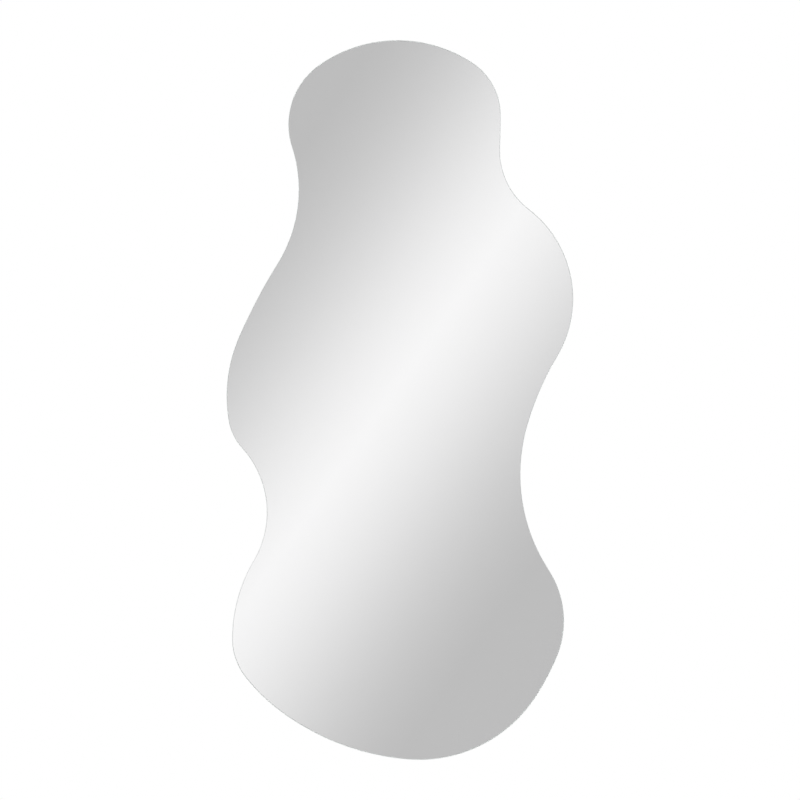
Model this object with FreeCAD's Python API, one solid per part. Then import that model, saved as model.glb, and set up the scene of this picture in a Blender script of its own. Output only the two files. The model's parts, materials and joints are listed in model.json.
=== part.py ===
# Frameless wall mirror with an irregular, softly lobed outline.
#
# A pane of silvered float glass with a polished edge is bonded to a smaller
# fibreboard back. Two steel keyhole plates on the back hang it on two wall
# screws, and four soft pads keep it parallel to the wall.
#
# Millimetres. +Z is up, +X is to the right as seen from the front, and the
# mirror faces -Y. The origin lies on the wall, midway between the two round
# keyhole openings.
import FreeCAD
import Part
import math
import os
from collections import namedtuple

Vector = FreeCAD.Vector

# ---------------------------------------------------------------- sizes ----
# Overall size. The outline is drawn below, and scaled as a whole to this height.
MIRROR_HEIGHT = 1000.0

# Silvered glass
GLASS_THICKNESS = 5.0
EDGE_ARRIS = 0.5               # 45 degree ground corner, front and back
COATING_THICKNESS = 0.1        # silver with its protective paint
FILM_THICKNESS = 0.2           # film that holds the pieces if the glass breaks
FILM_MARGIN = 3.0              # edge of the glass to the edge of the film

# Fibreboard back and the bond that holds it to the film
BOARD_THICKNESS = 9.0
BOARD_MARGIN = 25.0            # edge of the glass to the edge of the board
BOARD_EDGE_EASE = 1.5          # 45 degree routed corner on the wall side
BOND_THICKNESS = 1.5
TAPE_WIDTH = 25.0
TAPE_LENGTH = 150.0
BEAD_WIDTH = 14.0
BEAD_LENGTH = 130.0

# Keyhole plates
HANGER_SPACING = 160.0         # keyhole to keyhole
HANGER_DROP = 140.0            # top of the mirror down to the keyholes' round openings
HANGER_LENGTH = 70.0
HANGER_WIDTH = 22.0
HANGER_THICKNESS = 2.0
HANGER_EDGE_EASE = 0.4
KEYHOLE_ENTRY_DIAMETER = 10.0  # lets the wall screw's head through
KEYHOLE_SLOT_WIDTH = 5.0       # bears on its shank
KEYHOLE_TRAVEL = 11.0          # middle of the opening to the slot's upper end
POCKET_CLEARANCE = 2.0         # room in the board all round the keyhole
POCKET_FLOOR = 2.5             # board left in front of the pocket

# Screws that hold the plates
SCREW_SPACING = 54.0
SCREW_DIAMETER = 3.5
SCREW_HEAD_DIAMETER = 7.0
SCREW_COVER = 1.5              # board left in front of a screw's tip
SCREW_POINT = 2.5

# Wall pads: as thick as the plates, so that the mirror hangs parallel
PAD_DIAMETER = 20.0
PAD_EDGE_EASE = 0.5

# -------------------------------------------------------------- outline ----
# The outline goes clockwise as seen from the front, as a chain of tangent
# arcs. A Circle is fixed by its centre and radius. A Roll is an arc that
# rolls between the circle before it and the circle after it. A radius is
# negative where the outline curves inwards. The drawing is in millimetres
# for a mirror about a metre tall, from the middle of the pane.
Circle = namedtuple("Circle", "name x z radius")
Roll = namedtuple("Roll", "name radius")

OUTLINE = (
    Circle("right_brow", 53.0, 396.0, 87.0),
    Roll("right_cheek", 1270.0),
    Circle("right_neck", 242.0, 347.0, -103.0),
    Roll("right_shoulder", 157.0),
    Circle("right_flank", 570.0, -149.0, -409.0),
    Roll("right_waist", -244.0),
    Circle("right_hip", 98.0, -307.0, 130.0),
    Roll("right_calf", 333.0),
    Circle("right_base", 27.0, -307.0, 193.0),
    Roll("sole", 343.0),
    Circle("left_base", -16.0, -230.0, 252.0),
    Roll("left_foot", 84.0),
    Circle("left_calf", -19.0, -332.0, 214.0),
    Roll("left_waist", -132.0),
    Circle("left_elbow", -163.0, -16.0, 76.0),
    Roll("left_flank", 206.0),
    Circle("left_arm", 515.0, -235.0, 806.0),
    Roll("left_neck", -194.0),
    Circle("left_brow", -54.0, 383.0, 101.0),
    Roll("crown", 189.0),
)

# Places on the pane, in the same drawing as the outline.
TAPE_PLACES = {
    "upper_left": (-88.0, 330.0),
    "upper_right": (76.0, 330.0),
    "middle_left": (-138.0, 60.0),
    "middle_right": (128.0, 110.0),
    "lower_left": (-120.0, -320.0),
    "lower_right": (140.0, -330.0),
}
BEAD_PLACES = {
    "crown": (-6.0, 330.0),
    "shoulder": (40.0, 120.0),
    "elbow": (-50.0, 20.0),
    "waist": (30.0, -130.0),
    "hip": (70.0, -330.0),
    "foot": (-50.0, -350.0),
}
PAD_PLACES = {
    "shoulder": (165.0, 150.0),
    "elbow": (-190.0, 20.0),
    "hip": (175.0, -320.0),
    "foot": (-165.0, -335.0),
}

# ------------------------------------------------------------- layers ------
# Depths along Y, from the wall forwards to the face of the glass.
WALL_Y = 0.0
BOARD_BACK_Y = WALL_Y - HANGER_THICKNESS
BOARD_FRONT_Y = BOARD_BACK_Y - BOARD_THICKNESS
FILM_BACK_Y = BOARD_FRONT_Y - BOND_THICKNESS
COATING_BACK_Y = FILM_BACK_Y - FILM_THICKNESS
GLASS_BACK_Y = COATING_BACK_Y - COATING_THICKNESS
GLASS_FRONT_Y = GLASS_BACK_Y - GLASS_THICKNESS

FORWARD = Vector(0.0, -1.0, 0.0)


# ------------------------------------------------------ outline geometry ---
def roll_centre(before, roll, after):
    """Centre of the arc that touches the circles before and after it.

    Two such arcs exist, one on each side of the line between the circles'
    centres. The outline takes the one that turns by less than half a circle.
    """
    start = Vector(before.x, 0.0, before.z)
    end = Vector(after.x, 0.0, after.z)
    to_start = before.radius - roll.radius
    to_end = roll.radius - after.radius
    span = (end - start).Length
    along = (to_start ** 2 - to_end ** 2 + span ** 2) / (2.0 * span)
    height = math.sqrt(to_start ** 2 - along ** 2)
    side = math.copysign(1.0, roll.radius * to_start * to_end)
    forward = (end - start) * (1.0 / span)
    left = Vector(-forward.z, 0.0, forward.x)
    return start + forward * along + left * (side * height)


def outline_arcs():
    """The closed chain as (centre, radius, first normal, last normal)."""
    rolls = OUTLINE[1::2]
    circles = OUTLINE[0::2]
    normals = []
    for index, roll in enumerate(rolls):
        before = circles[index]
        after = circles[(index + 1) % len(circles)]
        centre = roll_centre(before, roll, after)
        leaving = (centre - Vector(before.x, 0.0, before.z)) * (1.0 / (before.radius - roll.radius))
        arriving = (Vector(after.x, 0.0, after.z) - centre) * (1.0 / (roll.radius - after.radius))
        normals.append((centre, leaving, arriving))
    arcs = []
    for index, circle in enumerate(circles):
        centre, leaving, arriving = normals[index]
        arcs.append((Vector(circle.x, 0.0, circle.z), circle.radius, normals[index - 1][2], leaving))
        arcs.append((centre, rolls[index].radius, leaving, arriving))
    return arcs


def outline_wire(scale, origin, inset):
    """The outline as a closed wire, drawn in by an inset.

    The drawing is scaled about its own origin, which is laid on a point.
    """
    edges = []
    for centre, radius, first, last in outline_arcs():
        middle = origin + centre * scale
        reach = radius * scale - inset
        halfway = (first + last).normalize()
        points = [middle + normal * reach for normal in (first, halfway, last)]
        edges.append(Part.Arc(*points).toShape())
    return Part.Wire(edges)


# How the drawing lies on the mirror: its scale, and the height of its origin.
DRAWN_BOX = outline_wire(1.0, Vector(), 0.0).optimalBoundingBox(False, False)
SCALE = MIRROR_HEIGHT / DRAWN_BOX.ZLength
DRAWING_Z = HANGER_DROP - DRAWN_BOX.ZMax * SCALE


def place(drawn_x, drawn_z):
    """Where a point of the drawing lies on the mirror, as (x, z)."""
    return drawn_x * SCALE, drawn_z * SCALE + DRAWING_Z


def outline_slab(inset, back_y, front_y):
    """A slab with the outline drawn in by an inset, between two depths."""
    face = Part.Face(outline_wire(SCALE, Vector(0.0, back_y, DRAWING_Z), inset))
    return face.extrude(FORWARD * (back_y - front_y))


def edges_at(shape, depth_y):
    """The edges of a shape that lie wholly at one depth."""
    tolerance = 1e-4
    return [
        edge
        for edge in shape.Edges
        if abs(edge.BoundBox.YMin - depth_y) < tolerance
        and abs(edge.BoundBox.YMax - depth_y) < tolerance
    ]


def stadium(x, z_low, z_high, radius, back_y, depth):
    """A round-ended upright slab. It runs forwards from back_y."""
    low_left = Vector(x - radius, back_y, z_low)
    low_right = Vector(x + radius, back_y, z_low)
    high_left = Vector(x - radius, back_y, z_high)
    high_right = Vector(x + radius, back_y, z_high)
    edges = [
        Part.Arc(low_left, Vector(x, back_y, z_low - radius), low_right).toShape(),
        Part.LineSegment(low_right, high_right).toShape(),
        Part.Arc(high_right, Vector(x, back_y, z_high + radius), high_left).toShape(),
        Part.LineSegment(high_left, low_left).toShape(),
    ]
    return Part.Face(Part.Wire(edges)).extrude(FORWARD * depth)


# ------------------------------------------------------- silvered glass ----
def glass_pane():
    """The float glass, with its corners ground off front and back."""
    slab = outline_slab(0.0, GLASS_BACK_Y, GLASS_FRONT_Y)
    corners = edges_at(slab, GLASS_BACK_Y) + edges_at(slab, GLASS_FRONT_Y)
    return slab.makeChamfer(EDGE_ARRIS, corners)


def silver_coating():
    """The mirror coat and its paint, on the flat of the glass's back."""
    return outline_slab(EDGE_ARRIS, COATING_BACK_Y, GLASS_BACK_Y)


def safety_film():
    """The film stuck over the paint, trimmed just inside the edge."""
    return outline_slab(FILM_MARGIN, FILM_BACK_Y, COATING_BACK_Y)


# ------------------------------------------------------------- the bond ----
def tape_strip(drawn_x, drawn_z):
    """One strip of double-sided foam tape between film and board."""
    x, z = place(drawn_x, drawn_z)
    corner = Vector(x - TAPE_WIDTH / 2.0, FILM_BACK_Y, z - TAPE_LENGTH / 2.0)
    return Part.makeBox(TAPE_WIDTH, BOND_THICKNESS, TAPE_LENGTH, corner)


def adhesive_bead(drawn_x, drawn_z):
    """One bead of mirror adhesive, squeezed flat between film and board."""
    x, z = place(drawn_x, drawn_z)
    radius = BEAD_WIDTH / 2.0
    reach = BEAD_LENGTH / 2.0 - radius
    return stadium(x, z - reach, z + reach, radius, BOARD_FRONT_Y, BOND_THICKNESS)


# -------------------------------------------------------- keyhole plates ---
def hanger_middle_z():
    """Height of the plates' middles, which is the keyholes' middle."""
    highest = KEYHOLE_TRAVEL + KEYHOLE_SLOT_WIDTH / 2.0
    lowest = -KEYHOLE_ENTRY_DIAMETER / 2.0
    return (highest + lowest) / 2.0


def hanger_places():
    """The x of the left and of the right plate."""
    return {"left": -HANGER_SPACING / 2.0, "right": HANGER_SPACING / 2.0}


def screw_heights():
    """The z of the lower and of the upper screw of a plate."""
    middle = hanger_middle_z()
    return middle - SCREW_SPACING / 2.0, middle + SCREW_SPACING / 2.0


def keyhole(x):
    """The opening through a plate: a round entry and a slot above it."""
    entry = Part.makeCylinder(
        KEYHOLE_ENTRY_DIAMETER / 2.0, HANGER_THICKNESS, Vector(x, WALL_Y, 0.0), FORWARD
    )
    slot = stadium(x, 0.0, KEYHOLE_TRAVEL, KEYHOLE_SLOT_WIDTH / 2.0, WALL_Y, HANGER_THICKNESS)
    return entry.fuse(slot)


def screw_profile():
    """Half section of a countersunk screw, as (radius, depth from the wall).

    Its countersunk head is flush with the plate, and its shank ends in a point.
    """
    head = SCREW_HEAD_DIAMETER / 2.0
    shank = SCREW_DIAMETER / 2.0
    length = HANGER_THICKNESS + BOARD_THICKNESS - SCREW_COVER
    return [
        (0.0, 0.0),
        (head, 0.0),
        (shank, head - shank),
        (shank, length - SCREW_POINT),
        (0.0, length),
    ]


def screw(x, z):
    """One wood screw of a plate, which also serves to cut its hole."""
    points = [Vector(x + radius, WALL_Y - depth, z) for radius, depth in screw_profile()]
    section = Part.Face(Part.makePolygon(points + points[:1]))
    return section.revolve(Vector(x, WALL_Y, z), FORWARD, 360.0)


def plate_screws(x):
    """The two screws of one plate."""
    return [screw(x, z) for z in screw_heights()]


def hanger_plate(x):
    """A steel plate with a keyhole and two countersunk holes."""
    radius = HANGER_WIDTH / 2.0
    reach = HANGER_LENGTH / 2.0 - radius
    middle = hanger_middle_z()
    plate = stadium(x, middle - reach, middle + reach, radius, WALL_Y, HANGER_THICKNESS)
    plate = plate.makeChamfer(HANGER_EDGE_EASE, edges_at(plate, WALL_Y))
    plate = plate.cut(keyhole(x))
    for fastener in plate_screws(x):
        plate = plate.cut(fastener)
    return plate


# -------------------------------------------------------- backing board ----
def keyhole_pocket(x):
    """Room in the board for the head of the wall screw behind a plate."""
    radius = KEYHOLE_ENTRY_DIAMETER / 2.0 + POCKET_CLEARANCE
    depth = BOARD_THICKNESS - POCKET_FLOOR
    return stadium(x, 0.0, KEYHOLE_TRAVEL, radius, BOARD_BACK_Y, depth)


def backing_board():
    """The fibreboard back, with its pockets and screw holes."""
    board = outline_slab(BOARD_MARGIN, BOARD_BACK_Y, BOARD_FRONT_Y)
    board = board.makeChamfer(BOARD_EDGE_EASE, edges_at(board, BOARD_BACK_Y))
    for x in hanger_places().values():
        board = board.cut(keyhole_pocket(x))
        for fastener in plate_screws(x):
            board = board.cut(fastener)
    return board


def wall_pad(drawn_x, drawn_z):
    """A soft disc between the board and the wall."""
    x, z = place(drawn_x, drawn_z)
    pad = Part.makeCylinder(
        PAD_DIAMETER / 2.0, HANGER_THICKNESS, Vector(x, WALL_Y, z), FORWARD
    )
    return pad.makeChamfer(PAD_EDGE_EASE, edges_at(pad, WALL_Y))


# -------------------------------------------------------------- assembly ---
def build():
    """Every node of the mirror by name."""
    nodes = {
        "glass_pane": glass_pane(),
        "silver_coating": silver_coating(),
        "safety_film": safety_film(),
        "backing_board": backing_board(),
    }
    for name, spot in TAPE_PLACES.items():
        nodes["foam_tape_" + name] = tape_strip(*spot)
    for name, spot in BEAD_PLACES.items():
        nodes["adhesive_bead_" + name] = adhesive_bead(*spot)
    fasteners = []
    for name, x in hanger_places().items():
        nodes["keyhole_plate_" + name] = hanger_plate(x)
        fasteners += plate_screws(x)
    nodes["hanger_screws"] = Part.makeCompound(fasteners)
    for name, spot in PAD_PLACES.items():
        nodes["wall_pad_" + name] = wall_pad(*spot)
    return nodes


def export(nodes):
    """Writes one STEP file for each node, and prints its size."""
    os.makedirs("parts", exist_ok=True)
    for name, shape in nodes.items():
        shape.exportStep("parts/" + name + ".step")
        box = shape.BoundBox
        print(
            f"{name:24s} solids {len(shape.Solids)} valid {shape.isValid()} "
            f"{box.XLength:7.1f} x {box.YLength:5.1f} x {box.ZLength:7.1f} mm"
        )


export(build())
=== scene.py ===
"""Looks of a frameless wall mirror with a free, lobed outline.

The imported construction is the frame. This script models the pieces whose form
shows from close by, gives every surface its finish, and hangs the mirror in a
plain studio.

Metres. +Z is up, the mirror faces -Y, and the wall that it hangs on is y = 0.
"""

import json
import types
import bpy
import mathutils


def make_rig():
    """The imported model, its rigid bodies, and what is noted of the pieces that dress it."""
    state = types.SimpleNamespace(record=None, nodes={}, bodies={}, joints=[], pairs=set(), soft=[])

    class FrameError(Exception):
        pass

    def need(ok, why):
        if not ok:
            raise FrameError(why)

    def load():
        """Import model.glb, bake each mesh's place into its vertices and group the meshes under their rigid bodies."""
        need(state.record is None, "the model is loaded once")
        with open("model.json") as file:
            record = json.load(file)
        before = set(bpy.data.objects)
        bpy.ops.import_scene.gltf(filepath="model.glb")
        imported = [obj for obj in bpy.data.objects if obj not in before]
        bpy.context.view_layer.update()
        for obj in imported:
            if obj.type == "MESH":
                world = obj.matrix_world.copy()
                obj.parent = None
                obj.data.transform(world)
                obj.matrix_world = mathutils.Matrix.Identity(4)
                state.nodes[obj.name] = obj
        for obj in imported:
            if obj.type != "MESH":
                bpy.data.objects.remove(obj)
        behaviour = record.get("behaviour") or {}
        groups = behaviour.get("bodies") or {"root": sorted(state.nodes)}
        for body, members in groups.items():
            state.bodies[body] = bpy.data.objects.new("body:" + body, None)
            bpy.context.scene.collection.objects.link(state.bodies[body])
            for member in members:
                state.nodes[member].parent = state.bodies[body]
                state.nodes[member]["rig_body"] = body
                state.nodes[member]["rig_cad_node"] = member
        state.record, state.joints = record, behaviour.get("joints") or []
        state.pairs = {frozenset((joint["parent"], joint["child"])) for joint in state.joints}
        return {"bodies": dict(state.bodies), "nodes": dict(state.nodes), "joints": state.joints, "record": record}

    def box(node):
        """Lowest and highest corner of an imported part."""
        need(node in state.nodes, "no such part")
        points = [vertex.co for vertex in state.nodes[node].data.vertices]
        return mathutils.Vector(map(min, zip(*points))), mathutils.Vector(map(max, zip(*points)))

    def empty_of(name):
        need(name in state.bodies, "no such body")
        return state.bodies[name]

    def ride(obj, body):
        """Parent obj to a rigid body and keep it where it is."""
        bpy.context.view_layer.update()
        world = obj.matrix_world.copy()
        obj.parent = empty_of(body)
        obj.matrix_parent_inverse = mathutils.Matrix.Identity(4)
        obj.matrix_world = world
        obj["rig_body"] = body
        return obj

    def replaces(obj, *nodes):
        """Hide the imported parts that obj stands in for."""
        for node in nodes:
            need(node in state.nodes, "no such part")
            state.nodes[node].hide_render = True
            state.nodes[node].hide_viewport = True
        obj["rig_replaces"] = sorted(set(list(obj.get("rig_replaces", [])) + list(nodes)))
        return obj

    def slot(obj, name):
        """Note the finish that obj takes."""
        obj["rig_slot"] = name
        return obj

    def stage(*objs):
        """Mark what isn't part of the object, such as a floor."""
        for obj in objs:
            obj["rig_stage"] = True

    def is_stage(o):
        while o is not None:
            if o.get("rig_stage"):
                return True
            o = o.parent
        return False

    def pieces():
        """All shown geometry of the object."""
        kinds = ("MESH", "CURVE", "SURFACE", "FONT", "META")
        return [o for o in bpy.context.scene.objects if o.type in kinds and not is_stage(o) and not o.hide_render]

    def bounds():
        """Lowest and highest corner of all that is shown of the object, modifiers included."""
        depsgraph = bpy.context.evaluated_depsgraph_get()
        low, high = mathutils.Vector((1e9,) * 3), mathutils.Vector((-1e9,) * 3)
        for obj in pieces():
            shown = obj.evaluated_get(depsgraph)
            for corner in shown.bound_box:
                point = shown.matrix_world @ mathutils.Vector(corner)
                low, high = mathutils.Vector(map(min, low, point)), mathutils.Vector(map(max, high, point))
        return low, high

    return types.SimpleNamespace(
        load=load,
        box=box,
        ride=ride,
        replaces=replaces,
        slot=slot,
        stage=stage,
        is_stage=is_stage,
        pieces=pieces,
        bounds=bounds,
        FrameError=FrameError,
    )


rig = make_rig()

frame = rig.load()

import json
import logging
import math
from collections.abc import Callable, Iterable, Mapping
from dataclasses import dataclass, field
from enum import Enum
from functools import cache

import bmesh
import bpy
import numpy as np
from mathutils import Matrix, Vector

LOG = logging.getLogger("mirror")
SIZE_FILE = "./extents.json"
MM = 0.001
OVERRUN = 1.0 * MM              # how far a cutting tool stands out of what it cuts
TOUCH = 1e-6                    # two depths closer than this are one
DIGITS = 7                      # of a corner's coordinates, by which it is known again
FLAT = 0.99                     # along Y, of the normal of a face that lies flat
SMOOTH_ANGLE = math.radians(30.0)
OUTLINE_POINTS = 900
WAVE_PERIOD = math.pi / 10.0    # from band to band of a Wave Texture of scale 1

# The sockets of a Mix node that is set to colours.
MIX_FACTOR = 0
MIX_FIRST = 6
MIX_SECOND = 7
MIX_RESULT = 2

Colour = tuple[float, float, float]
Point = tuple[float, float, float]
Piece = bpy.types.Object
Face = bmesh.types.BMFace | bpy.types.MeshPolygon
Operator = Callable[["Value", "Term"], "Value"]


# ----------------------------------------------------------------- shading ---
def operators(operation: str) -> tuple[Operator, Operator]:
    """Makes an operator of Value, which adds a Math node.

    Args:
        operation: the node's operation.

    Returns:
        The operator, and its reflected form, as 1 - mask needs it.
    """

    def plain(value: "Value", other: "Term") -> "Value":
        """Puts the value first."""
        return value.calculate(operation, value, other)

    def reflected(value: "Value", other: "Term") -> "Value":
        """Puts the value second."""
        return value.calculate(operation, other, value)

    return plain, reflected


class Value:
    """A number, colour or vector that a node puts out.

    The operators work on numbers, and add Math nodes to the same tree.
    """

    __add__, __radd__ = operators("ADD")
    __sub__, __rsub__ = operators("SUBTRACT")
    __mul__, __rmul__ = operators("MULTIPLY")
    __truediv__, __rtruediv__ = operators("DIVIDE")
    __pow__, __rpow__ = operators("POWER")

    def __init__(self, graph: "Graph", socket: bpy.types.NodeSocket) -> None:
        """Wraps one output socket of a graph."""
        self.graph = graph
        self.socket = socket

    def calculate(self, operation: str, *terms: "Term") -> "Value":
        """Adds one Math node."""
        return self.graph.node("ShaderNodeMath", {"operation": operation}, dict(enumerate(terms)))

    def __abs__(self) -> "Value":
        """This without its sign."""
        return self.calculate("ABSOLUTE", self)

    def __round__(self) -> "Value":
        """The nearest whole number."""
        return self.calculate("ROUND", self)

    def at_least(self, floor: "Term") -> "Value":
        """This, or a floor where the floor is higher."""
        return self.calculate("MAXIMUM", self, floor)

    def at_most(self, ceiling: "Term") -> "Value":
        """This, or a ceiling where the ceiling is lower."""
        return self.calculate("MINIMUM", self, ceiling)

    def cosine(self) -> "Value":
        """The cosine of this, as an angle in radians."""
        return self.calculate("COSINE", self)

    def as_light(self) -> "Value":
        """The light that a picture shows as this brightness, by the usual curve of screens."""
        return ((self + 0.055) / 1.055) ** 2.4

    def along(self, axis: str) -> "Value":
        """The X, Y or Z of this vector."""
        return self.graph.node("ShaderNodeSeparateXYZ", {}, {"Vector": self}, output=axis)

    def rise(self, start: float, end: float) -> "Value":
        """Goes smoothly from 0 where this is at start to 1 where it is at end.

        Args:
            start: the value of this at which the rise starts.
            end: the value of this at which it ends.

        Returns:
            A value from 0 to 1.
        """
        return self.graph.node(
            "ShaderNodeMapRange",
            {"interpolation_type": "SMOOTHSTEP"},
            {"Value": self, "From Min": start, "From Max": end},
        )


Term = Value | float


class Graph:
    """The node tree of a material or a world, while it is filled."""

    def __init__(self, tree: bpy.types.NodeTree) -> None:
        """Empties a node tree, to be filled."""
        tree.nodes.clear()
        self.tree = tree

    def node(
        self,
        kind: str,
        settings: Mapping[str, object] | None = None,
        inputs: Mapping[str | int, object] | None = None,
        output: str | int = 0,
    ) -> Value:
        """Adds a node.

        Args:
            kind: the node's type.
            settings: its options by name, set first. "stops" holds a ramp's
                stops, each a place and a colour.
            inputs: a number, vector, colour or Value for each input socket.
            output: the output socket that is wanted.

        Returns:
            That output.
        """
        made = self.tree.nodes.new(kind)
        for name, setting in (settings or {}).items():
            if name == "stops":
                self._set_stops(made.color_ramp, setting)
            else:
                setattr(made, name, setting)
        self._fill_inputs(made, inputs or {})
        return Value(self, made.outputs[output])

    def end(self, kind: str, inputs: Mapping[str, Value]) -> None:
        """Adds the output node of the tree."""
        self._fill_inputs(self.tree.nodes.new(kind), inputs)

    def _fill_inputs(self, made: bpy.types.Node, inputs: Mapping[str | int, object]) -> None:
        """Links or sets the inputs of a node.

        Args:
            made: the node.
            inputs: a number, vector, colour or Value for each input socket.
        """
        for name, given in inputs.items():
            socket = made.inputs[name]
            if isinstance(given, Value):
                self.tree.links.new(given.socket, socket)
            elif socket.type == "RGBA":
                socket.default_value = (*given, 1.0)
            else:
                socket.default_value = given

    @staticmethod
    def _set_stops(ramp: bpy.types.ColorRamp, stops: Iterable[tuple[float, Colour]]) -> None:
        """Fills a colour ramp, which has two stops of its own.

        Args:
            ramp: the ramp.
            stops: the place and the colour of each stop, at least two.
        """
        for index, (place, colour) in enumerate(stops):
            stop = ramp.elements[index] if index < 2 else ramp.elements.new(place)
            stop.position = place
            stop.color = (*colour, 1.0)

    def place(self, stretch: Point = (1.0, 1.0, 1.0), turn: Point = (0.0, 0.0, 0.0)) -> Value:
        """The point on the object, in metres.

        Args:
            stretch: how much faster the pattern runs along each of its own axes.
            turn: how far those axes are turned, in radians.

        Returns:
            The coordinates, as a vector.
        """
        point = self.node("ShaderNodeTexCoord", output="Object")
        shrink = tuple(1.0 / axis for axis in stretch)
        return self.node(
            "ShaderNodeMapping",
            {"vector_type": "TEXTURE"},
            {"Vector": point, "Scale": shrink, "Rotation": turn},
        )

    def noise(
        self, place: Value, size: float, detail: float = 2.0, roughness: float = 0.5, bend: float = 0.0
    ) -> Value:
        """Soft noise from 0 to 1.

        Args:
            place: the coordinates that it follows.
            size: the width of its largest patches, in metres.
            detail: how many finer layers it has.
            roughness: how strong those are.
            bend: how much it winds.

        Returns:
            The noise.
        """
        shape = {"Scale": 1.0 / size, "Detail": detail, "Roughness": roughness, "Distortion": bend}
        return self.node("ShaderNodeTexNoise", {}, {"Vector": place, **shape})

    def ramp(self, factor: Term, *stops: tuple[float, Colour]) -> Value:
        """A colour that follows a factor through some stops."""
        return self.node("ShaderNodeValToRGB", {"stops": stops}, {"Fac": factor})

    def mix(self, factor: Term, first: Colour | Value, second: Colour | Value) -> Value:
        """A colour between two colours, the first at a factor of 0 and the second at 1."""
        inputs = {MIX_FACTOR: factor, MIX_FIRST: first, MIX_SECOND: second}
        return self.node("ShaderNodeMix", {"data_type": "RGBA"}, inputs, output=MIX_RESULT)

    def bump(self, height: Value, depth: float) -> Value:
        """The normal of a surface that stands up by a depth, in metres, where the height is 1."""
        return self.node("ShaderNodeBump", {}, {"Height": height, "Distance": depth})


def shade(colour: Colour, share: float) -> Colour:
    """A darker colour, with a share of each channel."""
    return tuple(channel * share for channel in colour)


@dataclass(frozen=True)
class Finish:
    """A plain finish, and what the others have in common.

    Attributes:
        name: the material's name.
        colour: as it looks in plain light.
        roughness: from 0, a mirror, to 1, matt.
        metallic: 1 on a metal.
        swing: how far the roughness comes and goes over the surface.
        depth: how high the relief stands.
    """

    name: str
    colour: Colour
    roughness: float = 0.5
    metallic: float = 0.0
    swing: float = 0.0
    depth: float = 0.0

    def vary(self, graph: Graph) -> dict[str, object]:
        """What the surface's shader is given beyond the plain values."""
        return {}

    def uneven(self, mask: Value) -> Value:
        """The roughness, as it comes and goes with a mask."""
        return self.roughness + self.swing * (mask - 0.5)

    def fill(self, graph: Graph) -> None:
        """Builds the nodes of the material.

        Args:
            graph: the tree that is filled.
        """
        plain = {
            "Base Color": self.colour,
            "Roughness": self.roughness,
            "Metallic": self.metallic,
        }
        surface = graph.node("ShaderNodeBsdfPrincipled", {}, {**plain, **self.vary(graph)})
        graph.end("ShaderNodeOutputMaterial", {"Surface": surface})

    @cache
    def material(self) -> bpy.types.Material:
        """The material of this finish, made when it is first asked for.

        Returns:
            The material, the same one each time.
        """
        made = bpy.data.materials.new(self.name)
        made.use_nodes = True
        self.fill(Graph(made.node_tree))
        return made


@dataclass(frozen=True)
class FloatGlass(Finish):
    """Clear float glass, green in its depth, with corners and rim ground matt.

    The colour, roughness, swing and depth are those of the ground glass, and
    the flat faces are smooth and clear.

    Attributes:
        middle: the y of the pane's middle.
        half: half its thickness.
        skin: how deep under a flat face the grinding starts, and is full.
        grain: the width of the grinding marks.
        marks: how much finer these are across the edge.
        tint: the colour that the glass lets through.
        tint_density: how soon it does so, per metre.
        index: of refraction.
    """

    roughness: float = 0.60
    swing: float = 0.36
    depth: float = 0.004 * MM
    middle: float = 0.0
    half: float = 0.0
    skin: tuple[float, float] = (0.002 * MM, 0.01 * MM)
    grain: float = 0.6 * MM
    marks: Point = (1.0, 14.0, 1.0)
    tint: Colour = (0.10, 0.72, 0.50)
    tint_density: float = 6.0
    index: float = 1.52

    def fill(self, graph: Graph) -> None:
        """Builds the nodes of the material.

        Args:
            graph: the tree that is filled.
        """
        from_face = self.half - abs(graph.place().along("Y") - self.middle)
        ground = from_face.rise(*self.skin)
        grain = graph.noise(graph.place(stretch=self.marks), self.grain, detail=4.0)
        surface = graph.node(
            "ShaderNodeBsdfPrincipled",
            {},
            {
                "Base Color": graph.mix(ground, (1.0, 1.0, 1.0), self.colour),
                "Roughness": ground * self.uneven(grain),
                "IOR": self.index,
                "Transmission Weight": 1.0,
                "Normal": graph.bump(ground * grain, self.depth),
            },
        )
        tint = {"Color": self.tint, "Density": self.tint_density}
        volume = graph.node("ShaderNodeVolumeAbsorption", {}, tint)
        graph.end("ShaderNodeOutputMaterial", {"Surface": surface, "Volume": volume})


@dataclass(frozen=True)
class MirrorCoat(Finish):
    """Chemical silver seen through the glass: a faint cloud in its brightness.

    Attributes:
        cloud: the width of a cloud.
        dull: the brightness in its middle, as a share.
    """

    cloud: float = 300.0 * MM
    dull: float = 0.994

    def vary(self, graph: Graph) -> dict[str, object]:
        """A brightness that drifts too little to be seen as a patch."""
        cloud = graph.noise(graph.place(), self.cloud)
        return {"Base Color": graph.mix(cloud, self.colour, shade(self.colour, self.dull))}


@dataclass(frozen=True)
class BackPaint(Finish):
    """The protective paint behind the silver, poured on and baked.

    Attributes:
        ripple: the width of a ripple in its skin.
    """

    swing: float = 0.12
    depth: float = 0.02 * MM
    ripple: float = 6.0 * MM

    def vary(self, graph: Graph) -> dict[str, object]:
        """Orange peel, and a sheen that comes and goes with it."""
        ripple = graph.noise(graph.place(), self.ripple, detail=1.0)
        return {"Roughness": self.uneven(ripple), "Normal": graph.bump(ripple, self.depth)}


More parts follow.
